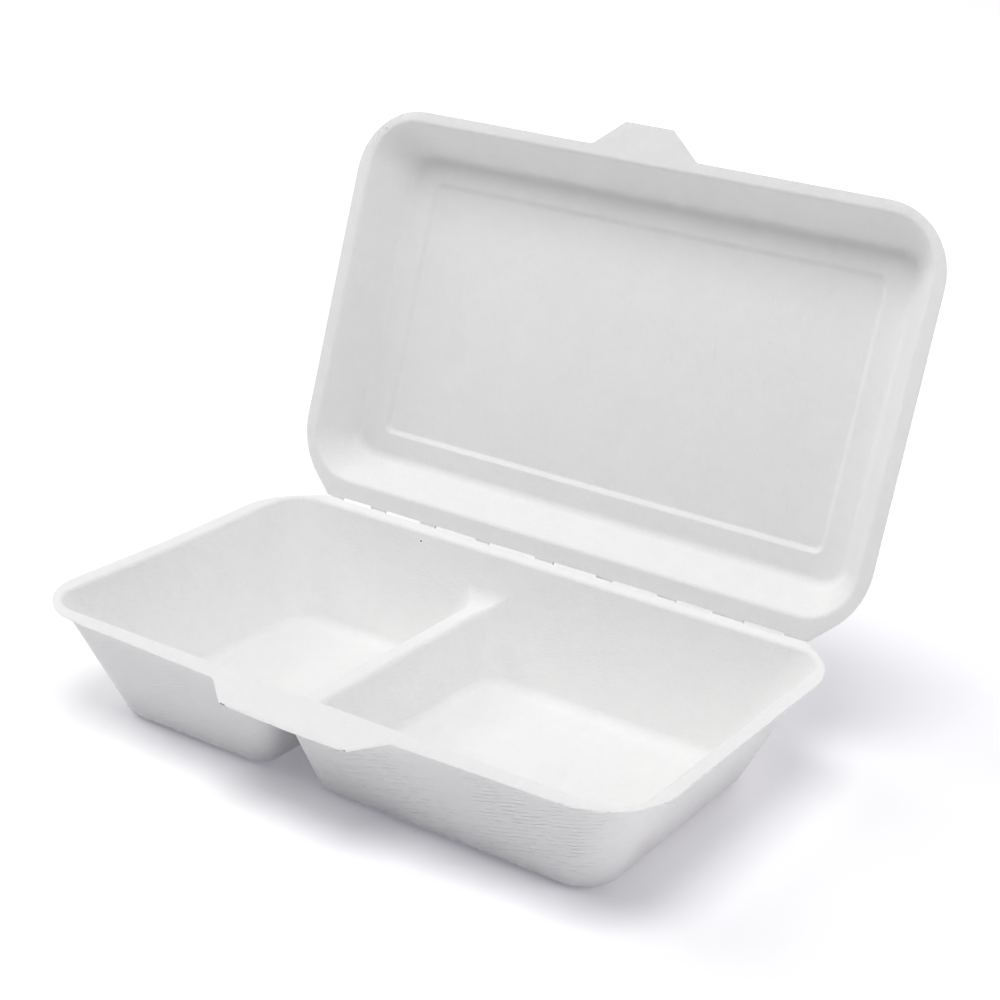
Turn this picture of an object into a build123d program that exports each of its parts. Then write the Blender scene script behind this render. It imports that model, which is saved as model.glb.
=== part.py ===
from build123d import *
import math
import os

# A food container pressed from sugarcane pulp: a tray with two bowls and a lid, joined at a perforated fold.
# All lengths are millimetres and all angles are degrees.
# Each half is drawn face down, as it lies on the press: x runs along the fold, y from the fold to the front
# edge and z is the depth of the pressing. Both halves share the outline of the flat rim.

# The pressed sheet, a little thinner in the lid, which carries no food
tray_sheet = 0.7
lid_sheet = 0.6
rim_width = 237
rim_depth = 150

# The back corners of the rim are cut off towards the fold, which leaves a short neck at each end of it
neck_run = 16.5
fold_length = rim_width - 2 * neck_run
neck_rise = 16
neck_round = 2
back_corner = 30
front_corner = 25.5

# The fold: slots pressed through it leave short bridges, and each half keeps a little clear of the fold line
fold_clear = 0.15
slot_pitch = 24
slot_count = int(fold_length / slot_pitch)
slot_length = 18.5
slot_width = 1.2
opening_angle = 105.5

# The tabs in the middle of the front edges
tray_tab_foot = 69
tray_tab_tip = 49.5
tray_tab_reach = 8.8
lid_tab_foot = 42
lid_tab_tip = 19
lid_tab_reach = 9.6
tab_foot_round = 3
tab_tip_round = 1.4

# The bend from the rim into the walls, on the food side
brink_round = 2

# The tray's walls and floors
tray_height = 42.5
tray_side_rim = 5.4
tray_front_rim = 6.2
tray_fold_rim = 6
tray_draft = 22
tray_corner = 14.5
tray_floor_round = 4.8

# The hollow ridge that parts the two bowls
ridge_offset = 19.7
ridge_drop = 17
ridge_crest = 7
ridge_draft = 15.5
ridge_crest_round = 2.5
ridge_corner = 8

# The lid's walls, its flat ledge and the raised panel inside it
lid_side_rim = 5.1
lid_front_rim = 4.2
lid_fold_rim = 7.6
lid_ledge_depth = 16.5
lid_draft = 32.5
lid_corner = 18.3
lid_ledge_round = 4
panel_border = 9.4
panel_rise = 1.4
panel_draft = 52
panel_corner = 4
panel_round = 1.2

# How far cutting shapes run past what they cut, and how near two heights count as one
overrun = 5
level_play = 0.01

os.makedirs("parts", exist_ok=True)


def inset(depth, draft):
    """How far a wall with this draft comes in over a depth."""
    return depth * math.tan(math.radians(draft))


def across(skin, draft):
    """The level distance between the two faces of a wall of this thickness."""
    return skin / math.cos(math.radians(draft))


def at_depth(edges, depth):
    """Those edges that lie flat at one depth of the pressing."""
    return edges.filter_by_position(Axis.Z, depth - level_play, depth + level_play)


def rim(tab_foot, tab_tip, tab_reach):
    """The flat blank of one half with its tab and its share of each slot in the fold."""
    half_width = rim_width / 2
    with BuildSketch() as blank:
        with BuildLine():
            FilletPolyline(
                (0, fold_clear),
                (fold_length / 2, fold_clear),
                (half_width, neck_rise),
                (half_width, rim_depth),
                (tab_foot / 2, rim_depth),
                (tab_tip / 2, rim_depth + tab_reach),
                (0, rim_depth + tab_reach),
                radius=[neck_round, back_corner, front_corner, tab_foot_round, tab_tip_round],
            )
            mirror(about=Plane.YZ)
        make_face()
        with GridLocations(slot_pitch, 0, slot_count, 1):
            Rectangle(slot_length, slot_width, mode=Mode.SUBTRACT)
    return blank.sketch


def opening(side_rim, front_rim, fold_rim, draft, skin):
    """Where the walls leave the rim, as a middle and a size, grown by the sheet for the outside."""
    depth = rim_depth - front_rim - fold_rim
    grown = 2 * across(skin, draft)
    return fold_rim + depth / 2, (rim_width - 2 * side_rim + grown, depth + grown)


def bowls(skin):
    """The hollow of the tray, grown by the sheet's thickness for its outside."""
    floor = tray_height - tray_sheet + skin
    middle, size = opening(tray_side_rim, tray_front_rim, tray_fold_rim, tray_draft, skin)
    crest = ridge_drop + skin
    foot = floor + overrun
    half_crest = ridge_crest / 2 + inset(skin, ridge_draft) - across(skin, ridge_draft)
    half_foot = half_crest + inset(foot - crest, ridge_draft)
    with BuildPart() as hollow:
        with BuildSketch():
            with Locations((0, middle)):
                Rectangle(*size)
        extrude(amount=floor, taper=tray_draft)
        walls_meet = hollow.edges().filter_by(lambda edge: edge.bounding_box().size.Z > floor / 2)
        fillet(walls_meet, tray_corner + skin)

        # The ridge is cut across both end walls, then blended into them, into its crest and into the floors
        with BuildSketch(Plane.XZ):
            with BuildLine():
                Polyline(
                    (-ridge_offset - half_foot, foot),
                    (-ridge_offset - half_crest, crest),
                    (-ridge_offset + half_crest, crest),
                    (-ridge_offset + half_foot, foot),
                    close=True,
                )
            make_face()
        extrude(amount=-rim_depth, mode=Mode.SUBTRACT)
        across_ridge = hollow.edges(Select.LAST).filter_by(Axis.Y, reverse=True)
        fillet(across_ridge - at_depth(across_ridge, floor), ridge_corner + skin)
        fillet(at_depth(hollow.edges().filter_by(Axis.Y), crest), ridge_crest_round - skin)
        fillet(at_depth(hollow.edges(), floor), tray_floor_round + skin)
    return hollow.part


with BuildPart() as tray:
    add(rim(tray_tab_foot, tray_tab_tip, tray_tab_reach))
    extrude(amount=tray_sheet)
    add(bowls(tray_sheet))
    fillet(at_depth(tray.edges(Select.LAST), tray_sheet), brink_round - tray_sheet)
    add(bowls(0), mode=Mode.SUBTRACT)
    fillet(at_depth(tray.edges(Select.LAST), 0), brink_round)


def lid_hollow(skin):
    """The hollow of the lid, grown by the sheet's thickness for its outside."""
    ledge = lid_ledge_depth + skin
    middle, size = opening(lid_side_rim, lid_front_rim, lid_fold_rim, lid_draft, skin)
    border = inset(lid_ledge_depth, lid_draft) + panel_border
    panel_middle, panel_size = opening(
        lid_side_rim + border, lid_front_rim + border, lid_fold_rim + border, panel_draft, skin
    )
    with BuildPart() as hollow:
        with BuildSketch():
            with Locations((0, middle)):
                RectangleRounded(*size, lid_corner + across(skin, lid_draft))
        extrude(amount=ledge, taper=lid_draft)
        fillet(at_depth(hollow.edges(), ledge), lid_ledge_round + skin)
        with BuildSketch(Plane.XY.offset(lid_ledge_depth)):
            with Locations((0, panel_middle)):
                RectangleRounded(*panel_size, panel_corner + across(skin, panel_draft))
        extrude(amount=panel_rise + skin, taper=panel_draft)
        fillet(at_depth(hollow.edges(Select.LAST), ledge), panel_round - skin)
        fillet(at_depth(hollow.edges(), ledge + panel_rise), panel_round + skin)
    return hollow.part


with BuildPart() as lid:
    add(rim(lid_tab_foot, lid_tab_tip, lid_tab_reach))
    extrude(amount=lid_sheet)
    add(lid_hollow(lid_sheet))
    fillet(at_depth(lid.edges(Select.LAST), lid_sheet), brink_round - lid_sheet)
    add(lid_hollow(0), mode=Mode.SUBTRACT)
    fillet(at_depth(lid.edges(Select.LAST), 0), brink_round)

# The tray stands with its depth down, and the lid is turned up from it about the fold line
lean = math.radians(opening_angle)
lid_out = Vector(0, math.sin(lean), math.cos(lean))
tray.part.move(Plane(origin=(0, 0, -fold_clear), x_dir=(1, 0, 0), z_dir=(0, 0, -1)).location)
lid.part.move(Plane(origin=lid_out * fold_clear, x_dir=(-1, 0, 0), z_dir=lid_out).location)

# The finished part stands on the ground, with the middle of its outline over the origin
both = Compound(children=[tray.part.moved(Location()), lid.part.moved(Location())]).bounding_box()
home = Location((0, -(both.min.Y + both.max.Y) / 2, tray_height + fold_clear))
tray.part.label = "tray"
lid.part.label = "lid"
for piece in (tray.part, lid.part):
    piece.move(home)
    print(piece.label, "volume", piece.volume, "valid", piece.is_valid)
print("fold line at", home.position)
export_step(tray.part, "parts/tray.step")
export_step(lid.part, "parts/lid.step")
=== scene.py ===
import bpy, math
from mathutils import Matrix, Vector, noise


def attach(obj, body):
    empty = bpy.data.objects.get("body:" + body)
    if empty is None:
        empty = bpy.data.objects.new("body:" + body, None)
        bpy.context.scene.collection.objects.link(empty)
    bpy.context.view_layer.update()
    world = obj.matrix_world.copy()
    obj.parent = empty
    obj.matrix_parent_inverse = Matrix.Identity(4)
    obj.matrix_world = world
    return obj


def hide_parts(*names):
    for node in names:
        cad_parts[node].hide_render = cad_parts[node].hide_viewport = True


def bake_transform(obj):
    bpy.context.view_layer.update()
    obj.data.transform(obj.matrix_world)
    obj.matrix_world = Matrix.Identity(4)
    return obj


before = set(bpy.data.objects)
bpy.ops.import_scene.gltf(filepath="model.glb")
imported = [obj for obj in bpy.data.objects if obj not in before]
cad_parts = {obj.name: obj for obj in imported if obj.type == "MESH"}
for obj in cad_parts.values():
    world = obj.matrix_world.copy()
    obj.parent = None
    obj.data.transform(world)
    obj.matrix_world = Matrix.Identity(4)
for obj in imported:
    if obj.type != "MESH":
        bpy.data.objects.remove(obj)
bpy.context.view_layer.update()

# The camera stands in front of the tray and to its right, looking down on it, as in the photograph.
# Its place was worked out from the outlines of both rims.
rim_middle = Vector((0, -0.0219289, 0.0425))
camera_round = math.radians(32.89)
camera_down = math.radians(22.65)
camera_roll = math.radians(3.61)
camera_turn = (
    Matrix.Rotation(camera_round, 4, "Z")
    @ Matrix.Rotation(math.pi / 2 - camera_down, 4, "X")
    @ Matrix.Rotation(camera_roll, 4, "Z")
)
camera_away = Vector((-0.00039, 0.02267, 0.70422))
bpy.ops.object.camera_add()
camera = bpy.context.object
camera.matrix_world = Matrix.Translation(rim_middle + camera_turn @ camera_away) @ camera_turn
camera.data.lens = 75.405
camera.data.shift_x = 0.06557
camera.data.shift_y = 0.06115
bpy.context.scene.camera = camera

# The tray: one sheet of white plant pulp, pressed on a mould into two bowls with a hollow ridge between them.
# Its food side is smooth and its underside keeps the marks of the wire mesh that the pulp was drawn on to.
# In drying its long front flange has sagged a little and its left side has come in a little.
fold_line = Vector((0, 0.0532211, 0.04265))
fold_way = Vector((1, 0, 0))
tray_out = Vector((0, -1, 0))
tray_up = Vector((0, 0, 1))
rim_depth = 0.15
rim_half_width = 0.1185

# The net that the sheet is cut into, with closer rows next to the fold
net_step = 0.005
fold_rows = [0.0012, 0.0024, 0.0036]
weld_play = 0.000002


def sheet_from(node, name, ways):
    """A copy of a pressed half, joined up and cut into a fine net so that it can warp as a sheet."""
    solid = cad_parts[node].data
    bpy.ops.object.select_all(action="DESELECT")
    shell = bpy.data.objects.new(name, solid.copy())
    bpy.context.scene.collection.objects.link(shell)
    shell.select_set(True)
    bpy.context.view_layer.objects.active = shell
    bpy.ops.object.mode_set(mode="EDIT")
    bpy.ops.mesh.select_all(action="SELECT")
    bpy.ops.mesh.remove_doubles(threshold=weld_play)
    for way in ways:
        reaches = [way.dot(corner.co - fold_line) for corner in solid.vertices]
        steps = range(int(min(reaches) / net_step), int(max(reaches) / net_step) + 1)
        for reach in [step * net_step for step in steps] + fold_rows:
            bpy.ops.mesh.select_all(action="SELECT")
            bpy.ops.mesh.bisect(plane_co=fold_line + way * reach, plane_no=way)
    bpy.ops.object.mode_set(mode="OBJECT")
    return shell


# The slots in the fold as pressed on the mould, and where the real ones lie, in metres from the middle
slot_half_pitch = 0.012
slot_half_length = 0.00925
even_slots = [
    centre * slot_half_pitch + side * slot_half_length for centre in range(-7, 8, 2) for side in (-1, 1)
]
real_slots = (
    -0.0945, -0.0815, -0.0745, -0.0585, -0.0515, -0.0335, -0.0275, -0.0075,
    0.0005, 0.0185, 0.025, 0.0435, 0.051, 0.0655, 0.0775, 0.093,
)
fold_end = 0.102
slot_reach = 0.0007
slot_blend = 0.005


def place_slots(shell, out_way):
    """Moves the ends of the slots along the fold to where they lie on the real container."""
    before = [-fold_end, *even_slots, fold_end]
    after = [-fold_end, *real_slots, fold_end]
    for corner in shell.data.vertices:
        out_from_fold = (corner.co - fold_line).dot(out_way)
        if out_from_fold < slot_blend and abs(corner.co.x) < fold_end:
            place = max(index for index, start in enumerate(before) if start <= corner.co.x)
            share = (corner.co.x - before[place]) / (before[place + 1] - before[place])
            shift = after[place] + share * (after[place + 1] - after[place]) - corner.co.x
            corner.co.x += shift * min((slot_blend - out_from_fold) / (slot_blend - slot_reach), 1)


def ramp(value, start, end):
    """Rises smoothly from 0 at start to 1 at end."""
    share = min(max((value - start) / (end - start), 0), 1)
    return share * share * (3 - 2 * share)


# The waves of the warp, and how far out from the fold they begin and are whole
warp_height = 0.00018
warp_length = 0.06
warp_start = 0.01
warp_whole = 0.05


def warp(shell, out_way, press_way):
    """Lets the sheet stray from the mould by a hair in long waves, but not at the fold."""
    for corner in shell.data.vertices:
        out_from_fold = (corner.co - fold_line).dot(out_way)
        wave = noise.noise(corner.co / warp_length)
        corner.co += press_way * warp_height * wave * ramp(out_from_fold, warp_start, warp_whole)


# A face that looks less than this towards either side is part of the cut edge
edge_facing = 0.08


def mark_sides(shell, food_way):
    """Marks which faces touched the wire mesh and which are the cut edge, for the material."""
    mesh_side = shell.data.attributes.new("mesh_side", "FLOAT", "FACE")
    cut_edge = shell.data.attributes.new("cut_edge", "FLOAT", "FACE")
    for face in shell.data.polygons:
        facing = face.normal.dot(food_way)
        mesh_side.data[face.index].value = 1 if facing < -edge_facing else 0
        cut_edge.data[face.index].value = 1 if abs(facing) <= edge_facing else 0


sharp_bend = math.radians(40)
food_side_worn = 2.5
mesh_side_worn = 0.7


def smooth_off(shell, food_way):
    """Smooth over the bends and crisp at the rim, with flat parts flat and the cut edge a little worn."""
    bpy.ops.object.select_all(action="DESELECT")
    shell.select_set(True)
    bpy.context.view_layer.objects.active = shell
    bpy.ops.object.shade_smooth_by_angle(angle=sharp_bend)
    weighted = shell.modifiers.new("weighted", "WEIGHTED_NORMAL")
    weighted.keep_sharp = True
    bpy.ops.object.modifier_apply(modifier="weighted")
    cut_edge = shell.data.attributes["cut_edge"].data
    normals = [corner.vector.copy() for corner in shell.data.corner_normals]
    for face in shell.data.polygons:
        if cut_edge[face.index].value:
            for loop in face.loop_indices:
                corner = shell.data.vertices[shell.data.loops[loop].vertex_index].co
                on_food_side = (corner - face.center).dot(food_way) > 0
                worn = food_side_worn if on_food_side else mesh_side_worn
                normals[loop] = (normals[loop] + food_way * worn).normalized()
    shell.data.normals_split_custom_set(normals)


# The height of the relief, the wire mesh's pitch and slant, and the width of the speck with its ring. The
# pulp beside the ring is nine tenths as bright as the ring.
relief = 0.0004
mesh_pitch = 0.00145
mesh_slant = 0.33
speck_width = 0.002
beside_ring = (0.9, 0.9, 0.9, 1)


def pressed_pulp(name, press_turn, speck_place):
    """White pulp: fine grain, short fibres and soft mottling, with mesh ridges on the side off the mould."""
    pulp = bpy.data.materials.new(name)
    pulp.use_nodes = True
    skin = pulp.node_tree.nodes["Principled BSDF"]
    skin.inputs["Specular IOR Level"].default_value = 0.3

    def add(kind, settings=(), **sockets):
        """A node with these settings and sockets, where n0 stands for its first socket."""
        node = pulp.node_tree.nodes.new(kind)
        for key, value in dict(settings).items():
            setattr(node, key, value)
        for key, value in sockets.items():
            numbered = key[0] == "n" and key[1:].isdigit()
            socket = node.inputs[int(key[1:]) if numbered else key]
            if isinstance(value, bpy.types.NodeSocket):
                pulp.node_tree.links.new(value, socket)
            else:
                socket.default_value = value
        return node

    def maths(operation, first, second=0.0, third=0.0):
        settings = {"operation": operation}
        return add("ShaderNodeMath", settings, n0=first, n1=second, n2=third).outputs[0]

    def turned(where, turn=(0, 0, 0), scale=(1, 1, 1)):
        return add("ShaderNodeMapping", Vector=where, Rotation=turn, Scale=scale).outputs["Vector"]

    def cloudy(where, scale, detail=2.0, distortion=0.0):
        sockets = {"Vector": where, "Scale": scale, "Detail": detail, "Distortion": distortion}
        return add("ShaderNodeTexNoise", **sockets).outputs["Fac"]

    def mapped(value, start, end, lowest=0.0):
        """Runs from the lowest value at start to 1 at end."""
        ends = {"From Min": start, "From Max": end, "To Min": lowest}
        return add("ShaderNodeMapRange", Value=value, **ends).outputs["Result"]

    def shaded(value, stops):
        """Colours a value by these stops, each a place and a colour."""
        node = add("ShaderNodeValToRGB", Fac=value)
        elements = node.color_ramp.elements
        for index, (stop, colour) in enumerate(stops):
            element = elements[index] if index < 2 else elements.new(stop)
            element.position = stop
            element.color = colour
        return node.outputs["Color"]

    def mixed(blend, share, under, over):
        settings = {"data_type": "RGBA", "blend_type": blend}
        return add("ShaderNodeMix", settings, Factor=share, n6=under, n7=over).outputs[2]

    place = add("ShaderNodeTexCoord").outputs["Object"]
    pressed = turned(place, (press_turn, 0, 0))
    mesh_side = add("ShaderNodeAttribute", {"attribute_name": "mesh_side"}).outputs["Fac"]
    cut_edge = add("ShaderNodeAttribute", {"attribute_name": "cut_edge"}).outputs["Fac"]

    # Short fibres lie in every direction, here in three
    fibres = 0.0
    for turn in (0.3, 1.4, 2.4):
        along = turned(pressed, (turn, turn, turn), (2600, 260, 2600))
        fibres = maths("ADD", fibres, maths("POWER", cloudy(along, 1.0, 1.0, 0.4), 3.0))
    grain = cloudy(pressed, 1500, 3.0)
    lumps = cloudy(pressed, 210, 3.0)
    mottle = cloudy(pressed, 75, 4.0)

    # The wire mesh leaves short wavy ridges, higher towards the foot and in some places than in others
    askew = turned(pressed, (0, mesh_slant, 0))
    depth = add("ShaderNodeSeparateXYZ", Vector=askew).outputs["Z"]
    stray = maths("MULTIPLY", cloudy(pressed, 110), 6.5)
    rows = maths("SINE", maths("MULTIPLY_ADD", depth, 2 * math.pi / mesh_pitch, stray))
    pieces = mapped(cloudy(turned(askew, scale=(230, 230, 700)), 1.0), 0.4, 0.58)
    patches = mapped(cloudy(pressed, 34), 0.38, 0.58, 0.3)
    low = mapped(depth, 0.042, 0.012, 0.6)
    crests = maths("MULTIPLY", maths("MAXIMUM", rows, -0.1), pieces)
    crests = maths("MULTIPLY", maths("MULTIPLY", crests, low), patches)
    ridges = maths("MULTIPLY", crests, mesh_side)

    # Each layer's share of the relief
    fine = maths("MULTIPLY_ADD", grain, 0.14, maths("MULTIPLY", fibres, 0.35))
    height = maths("ADD", maths("MULTIPLY_ADD", lumps, 0.65, fine), maths("MULTIPLY", ridges, 0.55))
    bump = add("ShaderNodeBump", Height=height, Strength=1.0, Distance=relief)

    # The white is mottled a little, and the cut edge is painted whitest: a painted highlight where the edge
    # catches the light
    cloud = maths("MULTIPLY_ADD", lumps, 0.3, maths("MULTIPLY", grain, 0.2))
    shade = maths("MULTIPLY_ADD", mottle, 0.5, cloud)
    tint = shaded(shade, ((0.3, (0.865, 0.862, 0.856, 1)), (0.7, (0.892, 0.892, 0.885, 1))))
    # Painted highlight: the cut edge's faces are coloured near white
    colour = mixed("MIX", cut_edge, tint, (0.98, 0.98, 0.975, 1))
    if speck_place:
        # A speck of bark was pressed into the pulp, with a paler ring round it
        settings = {"operation": "DISTANCE"}
        away = add("ShaderNodeVectorMath", settings, n0=place, n1=speck_place).outputs["Value"]
        bark, white = (0.02, 0.017, 0.014, 1), (1, 1, 1, 1)
        stops = ((0.14, bark), (0.23, white), (0.38, white), (0.5, beside_ring))
        ring = shaded(maths("MULTIPLY", away, 1 / speck_width), stops)
        colour = mixed("MULTIPLY", 1.0, mixed("DIVIDE", 1.0, colour, beside_ring), ring)
    rough = maths("MULTIPLY_ADD", lumps, 0.15, 0.7)
    pulp.node_tree.links.new(bump.outputs["Normal"], skin.inputs["Normal"])
    pulp.node_tree.links.new(colour, skin.inputs["Base Color"])
    pulp.node_tree.links.new(rough, skin.inputs["Roughness"])
    return pulp


tray = sheet_from("tray", "tray_sheet", (fold_way, tray_out))
place_slots(tray, tray_out)
warp(tray, tray_out, tray_up)

# The sag is deepest at the middle of the flange's edge, the pinch at the middle of the left side
front_crease = 0.1438
front_sag = 0.00175
front_sag_reach = 0.11
left_pinch = 0.001
left_pinch_reach = 0.06
left_pinch_start = 0.085
for corner in tray.data.vertices:
    out_from_fold = fold_line.y - corner.co.y
    if out_from_fold > front_crease and abs(corner.co.x) < front_sag_reach:
        along_front = math.cos(math.pi / 2 * corner.co.x / front_sag_reach) ** 2
        past_crease = (out_from_fold - front_crease) / (rim_depth - front_crease)
        corner.co.z -= front_sag * along_front * past_crease
    from_middle = min(abs(out_from_fold - rim_depth / 2) / left_pinch_reach, 1)
    along_side = math.cos(from_middle * math.pi / 2) ** 2
    corner.co.x += left_pinch * along_side * ramp(-corner.co.x, left_pinch_start, rim_half_width)
mark_sides(tray, tray_up)
smooth_off(tray, tray_up)
tray_speck = (-0.05255, 0.04586, 0.03914)
tray.data.materials.clear()
tray.data.materials.append(pressed_pulp("tray_pulp", 0, tray_speck))
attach(tray, "tray")
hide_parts("tray")

# The lid: the other half of the same pressing, a flat rim round sloped walls, a ledge and a raised panel.
# It is of the same white pulp, pressed a little thinner, and leans back from the fold.
lean = math.radians(105.5)
lid_out = Vector((0, math.sin(lean), math.cos(lean)))
lid_up = Vector((0, -math.cos(lean), math.sin(lean)))
lid = sheet_from("lid", "lid_sheet", (fold_way, lid_up))
place_slots(lid, lid_up)
warp(lid, lid_up, lid_out)
mark_sides(lid, -lid_out)
smooth_off(lid, -lid_out)
lid_pulp = pressed_pulp("lid_pulp", lean, None)
lid.data.materials.clear()
lid.data.materials.append(lid_pulp)
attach(lid, "lid")
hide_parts("lid")

# Loose fibres: a few strands of the pulp have come up on the left corner of the lid's rim, where it was cut.
# Each lies on the food side of the rim, and they stay with the lid.
# Each row is a strand's place along the fold and out from it, its length and its turn on the rim.
strand_rows = (
    (-0.1142, 0.1350, 0.0018, 0.1),
    (-0.1136, 0.1376, 0.0022, -0.8),
    (-0.1129, 0.1368, 0.0014, 0.2),
    (-0.1122, 0.1393, 0.0018, 0.3),
    (-0.1110, 0.1402, 0.0012, -0.6),
    (-0.1094, 0.1417, 0.0015, 1.2),
)
strand_radius = 0.00013
strand_level = 0.00004
along_lid = lid_up.to_track_quat("Z", "X").to_matrix().to_4x4()
bpy.ops.object.select_all(action="DESELECT")
strands = []
for along, up, length, turn in strand_rows:
    spot = fold_line + fold_way * along + lid_up * up + lid_out * strand_level
    bpy.ops.mesh.primitive_cylinder_add(vertices=8, radius=strand_radius, depth=length, location=spot)
    strand = bpy.context.object
    strand.rotation_euler = (Matrix.Rotation(turn, 4, lid_out) @ along_lid).to_euler()
    strands.append(strand)
for strand in strands:
    strand.select_set(True)
bpy.ops.object.join()
fibres = bpy.context.object
fibres.name = "loose_fibres"
bpy.ops.object.transform_apply(location=True, rotation=True, scale=True)
bpy.ops.object.shade_smooth_by_angle(angle=math.radians(60))
fibre_pulp = bpy.data.materials.new("fibre_pulp")
fibre_pulp.use_nodes = True
fibre_skin = fibre_pulp.node_tree.nodes["Principled BSDF"]
fibre_skin.inputs["Base Color"].default_value = (0.98, 0.98, 0.97, 1)
fibre_skin.inputs["Roughness"].default_value = 0.8
fibres.data.materials.append(fibre_pulp)
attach(fibres, "lid")

# The fold: eight slots pressed through the sheet leave nine short bridges of pulp between tray and lid.
# Each bridge is nearly as thick as the sheet: a leg in the tray, a bend round the fold line, a leg in the lid.
outer_bridge_end = 0.1005
bridge_ends = [-outer_bridge_end, *real_slots, outer_bridge_end]
bridge_middle = 0.00047
bridge_leg = 0.0012
bridge_sheet = 0.00054
leg_share = 0.25
for number, (left_end, right_end) in enumerate(zip(bridge_ends[0::2], bridge_ends[1::2])):
    bpy.ops.object.select_all(action="DESELECT")
    bpy.ops.mesh.primitive_grid_add(x_subdivisions=4, y_subdivisions=16, size=1)
    bridge = bpy.context.object
    bridge.name = f"fold_bridge_{number + 1}"
    for corner in bridge.data.vertices:
        share = corner.co.y + 0.5
        bend = min(max((share - leg_share) / (1 - 2 * leg_share), 0), 1) * (math.pi - lean)
        spot = Vector((0, math.sin(bend), -math.cos(bend))) * bridge_middle
        spot += tray_out * (max(leg_share - share, 0) / leg_share * bridge_leg)
        spot += lid_up * (max(share - (1 - leg_share), 0) / leg_share * bridge_leg)
        along = left_end + (corner.co.x + 0.5) * (right_end - left_end)
        corner.co = fold_line + spot + fold_way * along
    thicken = bridge.modifiers.new("sheet", "SOLIDIFY")
    thicken.thickness = bridge_sheet
    thicken.offset = 0
    bpy.ops.object.modifier_apply(modifier="sheet")
    bpy.ops.object.mode_set(mode="EDIT")
    bpy.ops.mesh.select_all(action="SELECT")
    bpy.ops.mesh.normals_make_consistent(inside=False)
    bpy.ops.object.mode_set(mode="OBJECT")
    bpy.ops.object.shade_smooth_by_angle(angle=sharp_bend)
    bridge.data.materials.append(lid_pulp)
    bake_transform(bridge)

# The floor and the studio light: a plain white table of the kind used for pictures of goods, which glows
# faintly and more towards its back, and large soft lights, brightest from above and in front.
# Each row is a light's name, place, size, colour and power in watts.
light_rows = (
    ("over", (0, 0.1, 1.6), 1.5, (0.9, 1, 0.8), 1),
    ("high_front", (0.1, -0.5, 1.5), 0.8, (0.99, 0.985, 1), 13.5),
    ("high_left", (-0.9, -0.35, 1.1), 0.8, (1, 0.98, 0.96), 5.4),
    ("left", (-1.4, 0, 0.8), 1, (0.98, 0.99, 1), 4.8),
    ("right", (1.4, 0.1, 0.8), 1, (1, 0.98, 1), 6.2),
    ("behind", (0, 1.5, 0.9), 1, (1, 0.98, 0.98), 9),
)
lit_spot = Vector((0, 0, 0.05))
for name, place, size, colour, power in light_rows:
    bpy.ops.object.light_add(type="AREA", location=place)
    light = bpy.context.object
    light.name = "light_" + name
    light.data.size = size
    light.data.color = colour
    light.data.energy = power
    light.rotation_euler = (lit_spot - light.location).to_track_quat("-Z", "Y").to_euler()
world = bpy.data.worlds.new("studio")
bpy.context.scene.world = world
world.use_nodes = True
around = world.node_tree.nodes["Background"]
around.inputs["Color"].default_value = (0.7, 0.7, 1, 1)
around.inputs["Strength"].default_value = 0.03
bpy.ops.mesh.primitive_plane_add(size=20)
floor = bpy.context.object
floor.name = "floor"
table_white = bpy.data.materials.new("table_white")
table_white.use_nodes = True
table_nodes = table_white.node_tree.nodes
table_links = table_white.node_tree.links
table_skin = table_nodes["Principled BSDF"]
table_skin.inputs["Base Color"].default_value = (0.93, 0.93, 0.93, 1)
table_skin.inputs["Roughness"].default_value = 0.9
table_skin.inputs["Emission Color"].default_value = (0.9, 0.88, 1, 1)
table_place = table_nodes.new("ShaderNodeTexCoord")
table_axes = table_nodes.new("ShaderNodeSeparateXYZ")
table_glow = table_nodes.new("ShaderNodeMapRange")
for socket, value in {"From Min": 0.05, "From Max": 1.3, "To Min": 0.13, "To Max": 1}.items():
    table_glow.inputs[socket].default_value = value
table_links.new(table_place.outputs["Object"], table_axes.inputs["Vector"])
table_links.new(table_axes.outputs["Y"], table_glow.inputs["Value"])
table_links.new(table_glow.outputs["Result"], table_skin.inputs["Emission Strength"])
floor.data.materials.append(table_white)
bpy.context.scene.view_settings.view_transform = "Standard"
